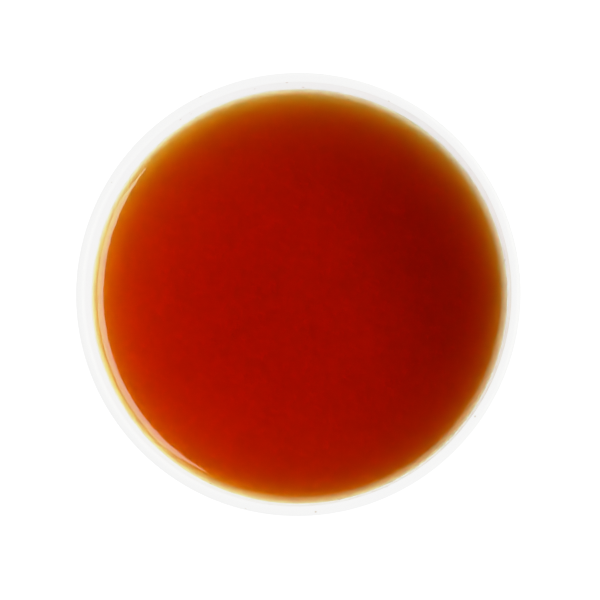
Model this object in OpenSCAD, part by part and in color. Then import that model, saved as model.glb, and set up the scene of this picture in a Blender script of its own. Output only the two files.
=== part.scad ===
// A round handleless cup of white porcelain, standing on its foot ring and filled with brewed tea.
// Two pieces: the cup, and the tea that lies in it face to face with the glaze.
// Frame: +Z up, origin at the middle of the foot ring's standing face. Millimetres.

/* [Bowl] */
// Outer diameter at the rim
rim_d = 95; // [75:1:130]
// Height from the table to the top of the lip
cup_h = 52; // [45:1:90]
// Thickness of the wall at the lip, which is rounded over in a half circle
lip_t = 2; // [1.4:0.1:4]
// Thickness of the floor in the middle
floor_t = 5; // [2.5:0.5:8]
// Fullness of the bowl's curve: 2 is an ellipse, and more is squarer
fullness = 3.8; // [2.2:0.1:4.5]
// Lean of the bowl's wall: the share of its radius that it is drawn in by, from the rim to the floor
lean = 0.11; // [0:0.01:0.25]

/* [Foot] */
// Outer diameter of the foot ring
foot_d = 50; // [32:1:60]
// Width of the foot ring, from its outer to its inner face
foot_w = 3.2; // [2.4:0.1:5]
// Height of the hollow under the floor, in the middle
foot_h = 5; // [2.5:0.5:8]
// Rounding of the foot ring's two lower edges
foot_round = 0.8; // [0.3:0.1:1]
// Size of the curve that runs from the bowl into the foot ring
foot_blend = 2.4; // [1:0.1:4]

/* [Tea] */
// Drop from the top of the lip to the level of the tea
tea_drop = 8; // [5:0.5:20]
// How high the tea climbs the wet glaze, above its level
climb_h = 2.5; // [0.5:0.1:3]
// Capillary length of the tea, which sets how wide that climb is
capillary_l = 2.7; // [2:0.1:3.5]

/* [Hidden] */

$fn = 180;
rim_r = rim_d / 2;
foot_r = foot_d / 2;
foot_in_r = foot_r - foot_w;
lip_r = lip_t / 2;
// The bowl's curves hang from this height, where the wall is upright and the lip's half circle begins
spring_z = cup_h - lip_r;
bore_r = rim_r - lip_t;
bore_depth = spring_z - foot_h - floor_t;
shell_depth = spring_z - foot_h;
tea_z = cup_h - tea_drop;
// Share of the climb that is left where the tea's top is drawn flat
climb_end = 0.01;

// Steps that the curves of the two outlines are drawn in
bowl_steps = 30;
lip_steps = 12;
blend_steps = 6;
round_steps = 4;
climb_steps = 16;
// Span at which the search for an angle stops, and the step over which a slope is taken, in degrees
angle_step = 1e-9;
slope_step = 1e-3;

// Point on a bowl curve of radius r and depth d, at angle t: 0 at the rim and 90 on the axis.
// It is a superellipse whose radius is drawn in by the lean as it goes down.
function bowl_point(r, d, t) = let (down = pow(sin(t), 2 / fullness))
    [r * pow(cos(t), 2 / fullness) * (1 - lean * down), spring_z - d * down];
// Angle at which a bowl curve of radius r passes radius x, found by halving the span that holds it
function angle_at_radius(r, x, low = 0, high = 90) = let (mid = (low + high) / 2)
    high - low < angle_step ? mid
    : bowl_point(r, 1, mid)[0] > x ? angle_at_radius(r, x, mid, high)
    : angle_at_radius(r, x, low, mid);
// Angle at which a bowl curve of depth d passes height z
function angle_at_height(d, z) = asin(pow((spring_z - z) / d, fullness / 2));
// Points of a bowl curve from angle t0 to angle t1
function bowl_run(r, d, t0, t1, steps) =
    [for (i = [0:steps]) bowl_point(r, d, t0 + (t1 - t0) * i / steps)];
// Points of a quadratic curve from a to c, drawn towards b
function blend_run(a, b, c, steps) =
    [for (i = [0:steps]) let (u = i / steps) (1 - u) * (1 - u) * a + 2 * u * (1 - u) * b + u * u * c];
// Points of an arc of radius r about c, from angle a0 to angle a1
function arc_run(c, r, a0, a1, steps) =
    [for (i = [0:steps]) let (a = a0 + (a1 - a0) * i / steps) c + r * [cos(a), sin(a)]];
// The same points in the other order
function reversed(points) = [for (i = [len(points) - 1:-1:0]) points[i]];
// A run without its first point, which the run before it ends on
function rest_of(points) = [for (i = [1:len(points) - 1]) points[i]];

// Curve from the shell's underside into the foot ring's upright face at radius face_r. It sets out
// along the underside's own slope. side is 1 on the outer face and -1 on the inner one.
function foot_blend_run(face_r, side) =
    let (t = angle_at_radius(rim_r, face_r + side * foot_blend),
         from = bowl_point(rim_r, shell_depth, t),
         ahead = bowl_point(rim_r, shell_depth, t - slope_step),
         slope = (ahead[1] - from[1]) / (ahead[0] - from[0]),
         corner = [face_r, from[1] - side * foot_blend * slope])
    blend_run(from, corner, [face_r, corner[1] - foot_blend], blend_steps);

// A still liquid against an upright wall that it wets stands h above its level at this distance
// from the wall, less the distance that belongs to climb_h
function arccosh(u) = ln(u + sqrt(u * u - 1));
function climb_term(h) = arccosh(2 * capillary_l / h) - sqrt(4 - pow(h / capillary_l, 2));
function climb_x(h) = capillary_l * (climb_term(h) - climb_term(climb_h));

// Angle on the bore's curve at which the top of the climbing tea meets the glaze
wet_t = angle_at_height(bore_depth, tea_z + climb_h);
// The wetted part of the bore, from the axis up to the top of the tea. Cup and tea share its points.
wet_bore = reversed(bowl_run(bore_r, bore_depth, wet_t, 90, bowl_steps));
wet_r = wet_bore[bowl_steps][0];

// The tea's surface from the glaze inwards. Its heights are each a fixed share of the one before,
// so that they crowd where it is low.
climb = [for (i = [1:climb_steps])
    let (h = climb_h * pow(climb_end, i / climb_steps)) [wet_r - climb_x(h), tea_z + h]];

tea_outline = concat(wet_bore, climb, [[0, tea_z + climb_h * climb_end]]);

cup_outline = concat(
    wet_bore,
    rest_of(reversed(bowl_run(bore_r, bore_depth, 0, wet_t, round_steps))),
    rest_of(arc_run([rim_r - lip_r, spring_z], lip_r, 180, 0, lip_steps)),
    rest_of(bowl_run(rim_r, shell_depth, 0, angle_at_radius(rim_r, foot_r + foot_blend), bowl_steps)),
    rest_of(foot_blend_run(foot_r, 1)),
    arc_run([foot_r - foot_round, foot_round], foot_round, 0, -90, round_steps),
    arc_run([foot_in_r + foot_round, foot_round], foot_round, -90, -180, round_steps),
    reversed(foot_blend_run(foot_in_r, -1)),
    rest_of(bowl_run(rim_r, shell_depth, angle_at_radius(rim_r, foot_in_r - foot_blend), 90, bowl_steps)));

module cup() {
    color("whitesmoke")
        rotate_extrude() polygon(cup_outline);
}

module tea() {
    color([0.62, 0.09, 0.01])
        rotate_extrude() polygon(tea_outline);
}

cup();
tea();
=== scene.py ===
# %% [markdown]
# # A cup of brewed tea
#
# The object is a round porcelain cup without a handle, filled with clear red-brown tea. It has two
# pieces, the cup and the tea in it, and nearly all that the eye enjoys comes from how they share
# light. The tea is clear, so its colour is only as deep as the tea is: amber at the wall and deep
# red in the middle. It also climbs the wall in a thin rim that shines. So the plan is to model both
# pieces as exact surfaces, to give tea and glaze the optics that they really have, and to light
# them as a small product studio would.
#
# The first cell loads the finished CAD model, which is the frame that everything has to fit.

import bpy
import numpy as np
from mathutils import Matrix, Vector


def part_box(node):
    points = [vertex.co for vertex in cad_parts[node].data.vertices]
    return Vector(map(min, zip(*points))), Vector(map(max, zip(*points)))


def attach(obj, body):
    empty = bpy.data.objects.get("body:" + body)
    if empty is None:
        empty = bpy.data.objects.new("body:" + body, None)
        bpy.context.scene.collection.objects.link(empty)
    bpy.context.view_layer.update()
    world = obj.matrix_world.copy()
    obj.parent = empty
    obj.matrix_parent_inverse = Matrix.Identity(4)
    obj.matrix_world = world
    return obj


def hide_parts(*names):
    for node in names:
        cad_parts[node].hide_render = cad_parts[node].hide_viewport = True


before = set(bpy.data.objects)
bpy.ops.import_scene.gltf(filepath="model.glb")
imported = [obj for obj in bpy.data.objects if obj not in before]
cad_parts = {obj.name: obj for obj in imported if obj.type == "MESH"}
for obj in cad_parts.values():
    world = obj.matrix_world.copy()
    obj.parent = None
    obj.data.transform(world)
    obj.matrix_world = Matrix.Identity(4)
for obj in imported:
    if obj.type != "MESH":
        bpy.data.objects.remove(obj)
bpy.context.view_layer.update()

# %% [markdown]
# ## Sizes
#
# A potter works from a few driving sizes. Those that a box can tell are read off the CAD solids:
# the rim's radius, the cup's height, the floor inside and the top of the tea. The rest are the wall
# and foot sizes of a thin porcelain cup, and the two numbers that give its bowl its curve. Everything
# is in metres.

# %% Sizes of the cup and the tea
MM = 0.001
cup_low, cup_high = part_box("cup")
tea_low, tea_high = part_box("tea")

rim_radius = (cup_high.x - cup_low.x) / 2
cup_height = cup_high.z
bore_floor = tea_low.z
wet_top = tea_high.z
lip_thickness = 2.0 * MM
fullness = 3.80
lean = 0.110
climb_height = 2.5 * MM
capillary_length = 2.7 * MM
tea_level = wet_top - climb_height

foot_outer = 25.0 * MM
foot_inner = 21.8 * MM
foot_hollow = 5.0 * MM
foot_rounding = 0.8 * MM
foot_blend = 2.4 * MM

lip_radius = lip_thickness / 2
spring_line = cup_height - lip_radius
bore_radius = rim_radius - lip_thickness
bore_depth = spring_line - bore_floor
shell_depth = spring_line - foot_hollow
print(f"rim {2000 * rim_radius:.1f} mm across, tea {1000 * (tea_level - bore_floor):.1f} mm deep")

# %% [markdown]
# ## A surface turned on a wheel
#
# A cup is a surface of revolution, so one helper serves both pieces. It takes a profile, which is
# a list of radius and height, and carries it round the axis on a grid of two parameters: the place
# along the profile and the angle. Spin in Blender would do much the same, but a grid in numpy lets
# every ring be moved a little at every angle, so that nothing has to be perfectly round.

# %% Helper: turn a profile into a closed mesh
def turned_surface(name, profile, turns, drift):
    """A closed mesh whose points are (r cos a, r sin a, z) for each (r, z) of the profile and each
    of the evenly spaced angles a. The profile starts and ends on the axis, where its end points
    become single poles. drift is a function of (r, z, a) that returns what to add to r and to z."""
    rings = profile[1:-1]
    angles = np.arange(turns) * 2 * np.pi / turns
    r, a = np.meshgrid(rings[:, 0], angles, indexing="ij")
    z = np.repeat(rings[:, 1:], turns, axis=1)
    dr, dz = drift(r, z, a)
    r, z = r + dr, z + dz
    grid = np.stack([r * np.cos(a), r * np.sin(a), z], axis=-1).reshape(-1, 3)
    points = np.vstack([grid, [0, 0, profile[0, 1]], [0, 0, profile[-1, 1]]])

    ring, step = np.meshgrid(np.arange(len(rings) - 1), np.arange(turns), indexing="ij")
    after = (step + 1) % turns
    corners = [ring * turns + step, ring * turns + after,
               (ring + 1) * turns + after, (ring + 1) * turns + step]
    quads = np.stack(corners, axis=-1).reshape(-1, 4)
    step, after = step[0], after[0]
    last = (len(rings) - 1) * turns
    first_cap = np.stack([np.full(turns, len(grid)), after, step], axis=-1)
    last_cap = np.stack([np.full(turns, len(grid) + 1), last + step, last + after], axis=-1)

    mesh = bpy.data.meshes.new(name)
    mesh.from_pydata(points.tolist(), [], quads.tolist() + first_cap.tolist() + last_cap.tolist())
    mesh.polygons.foreach_set("use_smooth", np.ones(len(mesh.polygons), dtype=bool))
    mesh.update()
    piece = bpy.data.objects.new(name, mesh)
    bpy.context.scene.collection.objects.link(piece)
    return piece


# %% Helper: the curves that the profiles are made of
def bowl_run(radius, depth, start, end, steps):
    """Points of the bowl's curve, which hangs from the spring line. It is a superellipse, with the
    radius times cos to the power 2/fullness and the depth times sin to the power 2/fullness, and
    it is drawn in by the lean times its share of the depth. Angles run from 0 at the rim to a
    quarter turn on the axis."""
    t = np.linspace(start, end, steps)
    across = np.clip(np.cos(t), 0, 1) ** (2 / fullness)
    down = np.clip(np.sin(t), 0, 1) ** (2 / fullness)
    return np.stack([radius * across * (1 - lean * down), spring_line - depth * down], axis=-1)


def bowl_angle_at_radius(radius, x):
    """The angle at which such a curve passes radius x, read off a fine run of its points."""
    run = bowl_run(radius, 1.0, 0, quarter, 4001)
    return np.interp(-x, -run[:, 0], np.linspace(0, quarter, 4001))


def bowl_angle_at_height(depth, z):
    """The angle at which such a curve passes height z."""
    return np.arcsin(((spring_line - z) / depth) ** (fullness / 2))


def arc_run(centre, radius, start, end, steps):
    """Points of an arc about a centre, between two angles in degrees."""
    a = np.radians(np.linspace(start, end, steps))
    return np.stack([centre[0] + radius * np.cos(a), centre[1] + radius * np.sin(a)], axis=-1)


def blend_run(a, b, c, steps):
    """Points of a quadratic curve from a to c that is drawn towards b."""
    u = np.linspace(0, 1, steps)[:, None]
    return (1 - u) ** 2 * np.array(a) + 2 * u * (1 - u) * np.array(b) + u ** 2 * np.array(c)


def joined(*runs, same_point=0.0001 * MM):
    """The runs end to end, with each point that repeats the one before it left out."""
    points = np.vstack(runs)
    apart = np.linalg.norm(np.diff(points, axis=0), axis=1) > same_point
    return points[np.concatenate([[True], apart])]


quarter = np.pi / 2
wet_angle = bowl_angle_at_height(bore_depth, wet_top)
wet_radius = bowl_run(bore_radius, bore_depth, wet_angle, wet_angle, 1)[0, 0]
print(f"tea meets the glaze {1000 * wet_radius:.2f} mm out, {1000 * wet_top:.1f} mm up")

# %% [markdown]
# ## The cup
#
# On the wheel a cup is one stroke: from the middle of the hollow under the foot, round the foot
# ring, up the outside, over the lip and down the inside to the middle of the floor. The profile
# below draws exactly that stroke. It has a point where the tea's edge touches the glaze, so that wet
# and dry glaze can have different finishes. Fired porcelain is never perfectly true, so the finished
# rings drift inwards by about a tenth of a millimetre at most, in slow waves round the cup.

# %% The cup's profile
def foot_fillet(face_radius, side):
    """The curve from the shell's underside into the foot ring's upright face. It sets out along the
    underside's own slope and ends upright. side is 1 on the outer face and -1 on the inner one."""
    angle = bowl_angle_at_radius(rim_radius, face_radius + side * foot_blend)
    start, ahead = bowl_run(rim_radius, shell_depth, angle, angle - 1e-4, 2)
    slope = (ahead[1] - start[1]) / (ahead[0] - start[0])
    corner = (face_radius, start[1] - side * foot_blend * slope)
    return blend_run(start, corner, (face_radius, corner[1] - foot_blend), 12)


outer_from = bowl_angle_at_radius(rim_radius, foot_outer + foot_blend)
inner_from = bowl_angle_at_radius(rim_radius, foot_inner - foot_blend)
cup_profile = joined(
    bowl_run(rim_radius, shell_depth, quarter, inner_from, 16),
    foot_fillet(foot_inner, -1),
    arc_run((foot_inner + foot_rounding, foot_rounding), foot_rounding, 180, 270, 8),
    arc_run((foot_outer - foot_rounding, foot_rounding), foot_rounding, 270, 360, 8),
    foot_fillet(foot_outer, 1)[::-1],
    bowl_run(rim_radius, shell_depth, outer_from, 0, 60),
    arc_run((rim_radius - lip_radius, spring_line), lip_radius, 0, 180, 25),
    bowl_run(bore_radius, bore_depth, 0, wet_angle, 16),
    bowl_run(bore_radius, bore_depth, wet_angle, quarter, 80),
)
print(f"cup profile: {len(cup_profile)} points")

# %% The cup's surface
TURNS = 288


RIM_SHRINKAGE = 0.12 * MM
LIP_DIP = 0.08 * MM


def kiln_drift(r, z, a):
    """Inward shrinkage that is full at the rim and fades to nothing at the foot, in waves of two and
    three to the turn, and a lip that dips in two waves to the turn."""
    up = np.clip(z / cup_height, 0, 1) ** 2
    wave = 0.5 + 0.3 * np.cos(2 * a + 0.7) + 0.2 * np.cos(3 * a + 2.1)
    return -RIM_SHRINKAGE * up * wave, -LIP_DIP * up ** 4 * (0.5 + 0.5 * np.cos(2 * a + 2.4))


cup = turned_surface("porcelain_cup", cup_profile, TURNS, kiln_drift)
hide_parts("cup")
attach(cup, "root")
print("cup:", len(cup.data.polygons), "faces")

# %% [markdown]
# ## The tea
#
# Tea wets glazed porcelain, so its level surface turns up where it meets the wall. The form of
# that climb is known exactly: it depends on one length, the capillary length, and on how high the
# edge stands. The curve gives the distance from the wall for each height, so the heights are chosen
# and the distances follow. Underneath, the tea is a little larger than the bore. If the two surfaces
# only touched, the renderer would find air between them here and there, and the tea would look
# silvery. The edge isn't quite level either, because a glaze is never equally clean all round.

# %% The tea's profile
overlap = 0.15 * MM


def climb_term(h):
    """The part of the climb's formula that depends on the height h above the level: the inverse
    hyperbolic cosine of 2L/h, less the square root of 4 - (h/L) squared, for capillary length L."""
    return np.arccosh(2 * capillary_length / h) - np.sqrt(4 - (h / capillary_length) ** 2)


climb = climb_height * np.geomspace(0.002, 1, 60)
from_wall = capillary_length * (climb_term(climb) - climb_term(climb_height))
climb_run = np.stack([wet_radius - from_wall, tea_level + climb], axis=-1)
last_step = climb_run[-1] - climb_run[-2]
into_wall = climb_run[-1:] + last_step / last_step[0] * 1.2 * overlap  # 1.2 reaches past the wall
flat_start = (0, climb_run[0, 1])
flat_run = np.linspace(flat_start, climb_run[0], 24)
under_depth = bore_depth + overlap
under_run = bowl_run(bore_radius + overlap, under_depth, quarter,
                     bowl_angle_at_height(under_depth, into_wall[0, 1]), 80)
tea_profile = joined(under_run[:-1], into_wall, climb_run[::-1], flat_run[::-1])
print(f"tea profile: {len(tea_profile)} points, climb {1000 * climb_height:.1f} mm")

# %% The tea's surface
EDGE_RISE = 0.03 * MM


def edge_drift(r, z, a):
    """A rise and fall of the tea's edge, in waves of two, three and five to the turn. It goes with
    the square of the height above the level, so the level stays flat."""
    share = np.clip((z - tea_level) / climb_height, 0, 1) ** 2
    wave = 0.5 * np.sin(2 * a + 0.4) + 0.3 * np.sin(3 * a + 1.9) + 0.2 * np.sin(5 * a + 3.0)
    return 0 * r, EDGE_RISE * share * wave


tea = turned_surface("brewed_tea", tea_profile, TURNS, edge_drift)
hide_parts("tea")
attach(tea, "root")
print("tea:", len(tea.data.polygons), "faces")

# %% [markdown]
# ## How a finish is put together
#
# Four finishes follow: the dry glaze, the glaze under the tea, the bare clay of the foot, and the
# tea. Each is one shader with a few nodes round it. Helpers that make a node, fill its inputs and
# mix two colours keep each finish as short as a recipe. What two finishes share goes into a node
# group, which is built once and placed in each of them with its own values.

# %% Helpers for materials
def new_material(name):
    """A material, with its node tree and its shader."""
    material = bpy.data.materials.new(name)
    material.use_nodes = True
    return material, material.node_tree, material.node_tree.nodes["Principled BSDF"]


def fill(tree, node, inputs):
    """Sets each named socket of a node to a value, or links it to the output given for it."""
    for socket, value in inputs.items():
        if isinstance(value, bpy.types.NodeSocket):
            tree.links.new(value, node.inputs[socket])
        else:
            node.inputs[socket].default_value = value
    return node


def add(tree, kind, inputs, **settings):
    """A new node of a kind, with its own settings, and with its inputs filled."""
    node = tree.nodes.new(kind)
    for setting, value in settings.items():
        setattr(node, setting, value)
    return fill(tree, node, inputs)


def band(tree, value, start, end, low=0.0, high=1.0):
    """A value that goes smoothly from low to high while another goes from start to end."""
    limits = {"Value": value, "From Min": start, "From Max": end, "To Min": low, "To Max": high}
    return add(tree, "ShaderNodeMapRange", limits, interpolation_type="SMOOTHSTEP").outputs[0]


def mixed(tree, share, a, b):
    """Colour a where share is 0 and colour b where it is 1."""
    return add(tree, "ShaderNodeMix", {0: share, 6: a, 7: b}, data_type="RGBA").outputs[2]


def noise(tree, place, per_metre, detail=2.0):
    """Soft noise from 0 to 1, with about as many grains to the metre as the number says."""
    return add(tree, "ShaderNodeTexNoise",
               {"Vector": place, "Scale": per_metre, "Detail": detail}).outputs[0]


# %% [markdown]
# ## The glaze's own detail
#
# Glazed porcelain looks plain, but it isn't one colour. The glaze is cool where it lies thick, as
# round the foot, and it runs thin over the lip, where the warmer body shows through, and with it a
# few specks of iron that have burnt dark. Its surface has a faint ripple, like the skin of an orange.
# A painted texture could show all this, but it follows the cup's own height and place, so it is
# worked out from Object coordinates, in one group that serves wet and dry glaze alike.

# %% Node group: glaze detail
GLAZE = (0.81, 0.885, 0.885, 1)
GLAZE_CLOUDED = (0.835, 0.89, 0.88, 1)
GLAZE_POOLED = (0.74, 0.83, 0.82, 1)
BODY_AT_LIP = (0.83, 0.81, 0.74, 1)
SPECK = (0.25, 0.20, 0.15, 1)
SPECKS_PER_METRE = 260
SPECK_RADIUS = 0.45 * MM
RIPPLE_DEPTH = 0.004 * MM


def glaze_detail_group():
    """Colour, roughness and ripple height of the glaze at a point, from its place on the cup."""
    group = bpy.data.node_groups.new("glaze_detail", "ShaderNodeTree")
    group.interface.new_socket("Roughness", in_out="INPUT", socket_type="NodeSocketFloat")
    group.interface.new_socket("Color", in_out="OUTPUT", socket_type="NodeSocketColor")
    group.interface.new_socket("Roughness", in_out="OUTPUT", socket_type="NodeSocketFloat")
    group.interface.new_socket("Height", in_out="OUTPUT", socket_type="NodeSocketFloat")
    given = add(group, "NodeGroupInput", {})
    place = add(group, "ShaderNodeTexCoord", {}).outputs["Object"]
    up = add(group, "ShaderNodeSeparateXYZ", {0: place}).outputs["Z"]
    clouds = noise(group, place, 45)
    specks = add(group, "ShaderNodeTexVoronoi", {"Vector": place, "Scale": SPECKS_PER_METRE})
    reach = SPECK_RADIUS * SPECKS_PER_METRE  # in the texture's own scale, as its distance is

    color = mixed(group, band(group, clouds, 0.35, 0.65), GLAZE, GLAZE_CLOUDED)
    at_lip = band(group, up, spring_line - 0.6 * MM, cup_height, 0.0, 0.7)
    color = mixed(group, at_lip, color, BODY_AT_LIP)
    at_foot = band(group, up, foot_hollow + 4 * MM, foot_hollow - 2 * MM, 0.0, 0.6)
    color = mixed(group, at_foot, color, GLAZE_POOLED)
    speck = band(group, specks.outputs["Distance"], reach, 0.5 * reach, 0.0, 0.8)
    near_lip = band(group, up, spring_line - 10 * MM, spring_line - 5 * MM)
    shown = add(group, "ShaderNodeMath", {0: speck, 1: near_lip}, operation="MULTIPLY").outputs[0]
    color = mixed(group, shown, color, SPECK)
    unevenness = band(group, noise(group, place, 160), 0.3, 0.7, -0.015, 0.025)
    roughness = add(group, "ShaderNodeMath", {0: given.outputs["Roughness"], 1: unevenness})
    add(group, "NodeGroupOutput", {"Color": color, "Roughness": roughness.outputs[0],
                                   "Height": noise(group, place, 620, 1.0)})
    return group


glaze_detail = glaze_detail_group()
print("glaze detail:", len(glaze_detail.nodes), "nodes")

# %% [markdown]
# ## Three finishes of the cup
#
# White porcelain is see-through to a small depth. Light that enters the wall wanders and comes out
# a little further on, which is why the shaded side of a tea cup still glows, so both glazes scatter
# below their surface. They differ in what lies over them. In air a glaze has a bright, hard
# reflection. Under tea it has almost none, because tea and glaze bend light nearly alike, so its
# specular level is close to nothing. Last, a potter wipes the glaze off the foot ring's standing
# face so that the cup won't stick to the kiln shelf, and the clay there is matt, warm and gritty.

# %% Dry glaze
def glaze_finish(name, roughness, scatter):
    """A white glaze with the shared detail, and with the depth that light scatters to below it."""
    material, tree, shader = new_material(name)
    detail = add(tree, "ShaderNodeGroup", {"Roughness": roughness}, node_tree=glaze_detail)
    ripple = add(tree, "ShaderNodeBump", {"Height": detail.outputs["Height"],
                                          "Strength": 1.0, "Distance": RIPPLE_DEPTH})
    fill(tree, shader, {"Base Color": detail.outputs["Color"],
                        "Roughness": detail.outputs["Roughness"],
                        "Normal": ripple.outputs[0],
                        "Subsurface Weight": 1.0,
                        "Subsurface Radius": (1, 1, 1),
                        "Subsurface Scale": scatter})
    return material, shader


dry_glaze, _ = glaze_finish("porcelain_glaze", 0.08, 0.5 * MM)

# %% Glaze under the tea
wet_glaze, shader = glaze_finish("glaze_under_tea", 0.3, 1.2 * MM)
shader.inputs["Specular IOR Level"].default_value = 0.04
print("finishes of glaze:", dry_glaze.name, "and", wet_glaze.name)

# %% Bare clay of the foot ring
CLAY = (0.80, 0.76, 0.70, 1)
CLAY_MOTTLED = (0.72, 0.67, 0.60, 1)
GRIT_DEPTH = 0.03 * MM

bare_clay, tree, shader = new_material("bare_porcelain")
place = add(tree, "ShaderNodeTexCoord", {}).outputs["Object"]
mottle = band(tree, noise(tree, place, 700), 0.3, 0.7)
grit = noise(tree, place, 3500, 4.0)
fill(tree, shader, {
    "Base Color": mixed(tree, mottle, CLAY, CLAY_MOTTLED),
    "Roughness": band(tree, grit, 0.3, 0.7, 0.65, 0.85),
    "Normal": add(tree, "ShaderNodeBump", {"Height": grit, "Strength": 0.6,
                                           "Distance": GRIT_DEPTH}).outputs[0]})

# %% Give each face of the cup its finish
def of_faces(mesh, what):
    """One vector for each face of a mesh, such as its centre or its normal."""
    values = np.empty(3 * len(mesh.polygons))
    mesh.polygons.foreach_get(what, values)
    return values.reshape(-1, 3)


for material in (dry_glaze, wet_glaze, bare_clay):
    cup.data.materials.append(material)
centres, normals = of_faces(cup.data, "center"), of_faces(cup.data, "normal")
heights = centres[:, 2]
faces_axis = (centres * normals)[:, :2].sum(axis=1) < 0
floor_band = 0.5 * MM
on_floor = np.abs(heights - bore_floor) < floor_band
under_tea = (heights > bore_floor - floor_band) & (heights < wet_top)
is_wet = (faces_axis | on_floor) & under_tea
is_bare = heights < 0.4 * foot_rounding
finish_of_face = np.select([is_wet, is_bare], [1, 2], 0).astype(np.int32)
cup.data.polygons.foreach_set("material_index", finish_of_face)
print("wet faces:", is_wet.sum(), " bare faces:", is_bare.sum())

# %% [markdown]
# ## The tea's finish
#
# A clear drink has no colour on its surface. White light goes in, and on its way to the white
# glaze and back the tea takes out nearly all the blue within a few millimetres, the green within
# a few centimetres, and some of the red. A painted gradient could copy one view of that. Here the
# tea gets what a chemist would measure instead: how much of each colour it absorbs in a metre. Then
# amber edges and a red middle come by themselves, from any side. The surface is a smooth one of
# water, with a slow swell of a hundredth of a millimetre.

# %% Brewed tea
ABSORBED_PER_METRE = (10.0, 72, 370)
DENSITY = 420.0
SWELL_DEPTH = 0.01 * MM
WATER_IOR = 1.333

tea_finish, tree, shader = new_material("brewed_tea")
place = add(tree, "ShaderNodeTexCoord", {}).outputs["Object"]
swell = add(tree, "ShaderNodeBump", {"Height": noise(tree, place, 22, 0.0),
                                     "Strength": 1.0, "Distance": SWELL_DEPTH})
fill(tree, shader, {"Base Color": (1, 1, 1, 1), "Roughness": 0.0, "IOR": WATER_IOR,
                    "Transmission Weight": 1.0, "Normal": swell.outputs[0]})
kept = tuple(1 - absorbed / DENSITY for absorbed in ABSORBED_PER_METRE)
depth_colour = add(tree, "ShaderNodeVolumeAbsorption", {"Density": DENSITY, "Color": (*kept, 1)})
tree.links.new(depth_colour.outputs[0], tree.nodes["Material Output"].inputs["Volume"])
tea.data.materials.append(tea_finish)
print("light left after 10 mm:", [round(float(np.exp(-0.01 * s)), 3) for s in ABSORBED_PER_METRE])

# %% [markdown]
# ## The camera
#
# A cup of tea shows its colour best from above, so the camera looks almost straight down into it,
# from about 60 cm away. It leans a few degrees to the front and to the right, and it aims a little
# off the cup's middle, which keeps the view from looking like a diagram. A camera has no up of its
# own when it looks down, so its three axes are set outright and not left to a tracking rule.

# %% Camera
camera_distance = 0.600
lean_to_front, lean_to_side = np.radians(5.8), np.radians(2.1)
rim_share_of_frame = 0.7434
half_frame = rim_radius / rim_share_of_frame
rim_middle = Vector((0, 0, spring_line))
aim = rim_middle + Vector((0.0075, -0.025, 0)) * half_frame
towards = Vector((np.tan(lean_to_side), -np.tan(lean_to_front), 1.0)).normalized()
across = Vector((0, 1, 0)).cross(towards).normalized()

camera_data = bpy.data.cameras.new("camera")
camera_data.sensor_width = 36.0
camera_data.lens = 0.5 * camera_data.sensor_width * camera_distance / half_frame
camera = bpy.data.objects.new("camera", camera_data)
bpy.context.scene.collection.objects.link(camera)
camera.location = aim + towards * camera_distance
axes = Matrix((across, towards.cross(across), towards)).transposed()
camera.rotation_mode = "QUATERNION"
camera.rotation_quaternion = axes.to_quaternion()
bpy.context.scene.camera = camera
print(f"camera: {camera_data.lens:.0f} mm lens, {1000 * camera_distance:.0f} mm from the rim")

# %% [markdown]
# ## The studio
#
# One long soft panel stands on the right, like a window. It lights the left half of the tea, throws
# the soft shadow of the right wall into it, and draws the pale crescent where the tea climbs the
# glaze on the left. Its height decides how wide the crescent is, and its length how far the crescent
# runs round. All round, a bright horizon fills the shadows, but straight above the sky is dark,
# because the flat tea would mirror it and turn milky.

# %% The window
def soft_panel(name, zenith, azimuth, distance, width, height, radiance):
    """A rectangular light that faces the rim's middle from a direction given by its angle from the
    zenith and round from +X, in degrees. Its power is its radiance times its area times pi."""
    zen, az = np.radians(zenith), np.radians(azimuth)
    way = Vector((np.sin(zen) * np.cos(az), np.sin(zen) * np.sin(az), np.cos(zen)))
    data = bpy.data.lights.new(name, "AREA")
    data.shape = "RECTANGLE"
    data.size, data.size_y = width, height
    data.energy = radiance * width * height * np.pi
    panel = bpy.data.objects.new(name, data)
    panel.location = rim_middle + way * distance
    panel.rotation_mode = "QUATERNION"
    panel.rotation_quaternion = way.to_track_quat("Z", "Y")
    panel.visible_camera = False
    bpy.context.scene.collection.objects.link(panel)
    print(f"{name}: {data.energy:.1f} W")


soft_panel("window", zenith=36.5, azimuth=17, distance=0.9, width=1.08, height=0.34, radiance=5.8)

# %% The sky round the studio
SKY_LIGHT = 1.65
SKY_FADES_FROM, SKY_DARK_FROM = 0.45, 0.67  # height on a sphere of radius 1
BACKDROP = (0.24, 0.24, 0.24, 1)

world = bpy.data.worlds.new("studio_sky")
bpy.context.scene.world = world
world.use_nodes = True
tree = world.node_tree
way = add(tree, "ShaderNodeTexCoord", {}).outputs["Generated"]
up = add(tree, "ShaderNodeSeparateXYZ", {0: way}).outputs["Z"]
sky = band(tree, up, SKY_FADES_FROM, SKY_DARK_FROM, SKY_LIGHT, 0.0)
seen = add(tree, "ShaderNodeLightPath", {}).outputs["Is Camera Ray"]
shown = mixed(tree, seen, sky, BACKDROP)
fill(tree, tree.nodes["Background"], {"Color": shown, "Strength": 1.0})
print(f"sky: {SKY_LIGHT} at the horizon, dark from {SKY_DARK_FROM} up")

# %% [markdown]
# ## The table
#
# The ground is to be pure white. A white table alone would come out pale grey and would show
# shadows, so a painted glow is put on it. It is seen by the camera alone and lights nothing: a
# painted pool of light in a ring round the cup, which hides the cup's cast shadow. Under the cup
# there is no glow, which leaves the rendered contact shadow that makes the cup stand. Further off the
# glow fades and the table's own colour darkens to the backdrop's grey, so that a white cup stands
# out from it when it is looked at from the side. If the glow lit the cup from below, the bowl would
# lose its shading.

# %% Table
TABLE_HALF = 3.0
TABLE_NEAR = (0.30, 0.30, 0.30, 1)
TABLE_FAR = (0.20, 0.20, 0.20, 1)
GLOW_ENDS, FAR_STARTS = 0.105, 0.32
NO_LIGHT = (0, 0, 0, 1)

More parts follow.
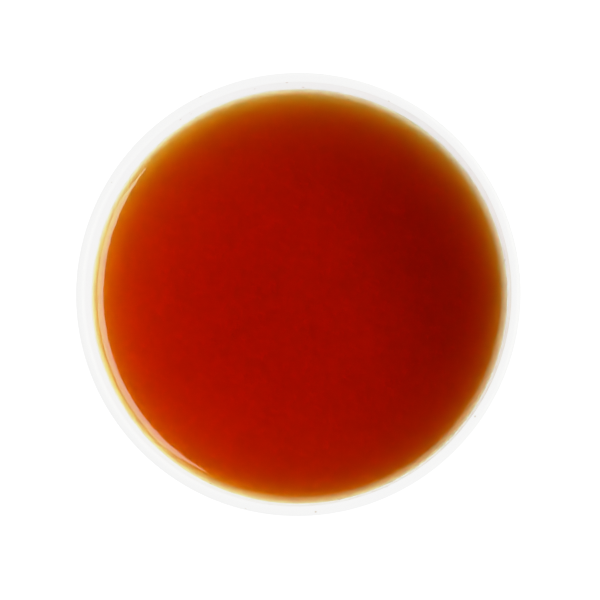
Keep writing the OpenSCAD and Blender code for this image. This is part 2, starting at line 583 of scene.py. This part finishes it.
corners = [(-TABLE_HALF, -TABLE_HALF, 0), (TABLE_HALF, -TABLE_HALF, 0),
           (TABLE_HALF, TABLE_HALF, 0), (-TABLE_HALF, TABLE_HALF, 0)]
table_mesh = bpy.data.meshes.new("table")
table_mesh.from_pydata(corners, [], [(0, 1, 2, 3)])
table = bpy.data.objects.new("table", table_mesh)
bpy.context.scene.collection.objects.link(table)

table_finish, tree, shader = new_material("table_painted_glow")
place = add(tree, "ShaderNodeTexCoord", {}).outputs["Object"]
out = add(tree, "ShaderNodeVectorMath", {0: place}, operation="LENGTH").outputs["Value"]
clear_of_foot = band(tree, out, 0.75 * foot_outer + 0.25 * rim_radius, 1.05 * rim_radius)
nearness = band(tree, out, GLOW_ENDS, FAR_STARTS, 1.0, 0.0)
# painted pool of light: a glow for camera rays only, in a ring round the cup that fades outwards
painted_glow = add(tree, "ShaderNodeMath", {0: clear_of_foot, 1: nearness}, operation="MULTIPLY").outputs[0]
seen = add(tree, "ShaderNodeLightPath", {}).outputs["Is Camera Ray"]
fill(tree, shader, {
    "Base Color": mixed(tree, nearness, TABLE_FAR, TABLE_NEAR),
    "Roughness": 0.6,
    "Specular IOR Level": 0.0,
    "Emission Color": mixed(tree, seen, NO_LIGHT, painted_glow),
    "Emission Strength": 2.0})
table_mesh.materials.append(table_finish)
print(f"table: white out to {1000 * GLOW_ENDS:.0f} mm")

# %% [markdown]
# ## How the film answers light
#
# Porcelain in sun is many times brighter than tea, and a plain display would burn it out to flat
# white. Film answers in a curve: dark tones in proportion, middle ones a little lifted, and bright
# ones ever more slowly, so that the lip, the wall and the white table stay apart. The view's curve is
# set to do the same. Each of its points pairs an amount of light with the film's answer to it, and
# Blender draws a smooth line through them.

# %% Film curve
view = bpy.context.scene.view_settings
view.view_transform = "Standard"
view.exposure = 1.0
view.use_curve_mapping = True
FILM = [(0, 0), (0.10, 0.10), (0.22, 0.225), (0.30, 0.322), (0.40, 0.400),
        (0.52, 0.436), (0.70, 0.453), (0.95, 0.463), (1.4, 0.493), (2.0, 0.505)]
full_scale = FILM[-1][0]
view.curve_mapping.white_level = (full_scale, full_scale, full_scale)
film = view.curve_mapping.curves[3]
for light, answer in FILM[1:-1]:
    film.points.new(light / full_scale, answer)
film.points[len(FILM) - 1].location = (1, FILM[-1][1])
view.curve_mapping.update()
bpy.context.scene.cycles.use_denoising = True
print("film curve through", len(film.points), "points")
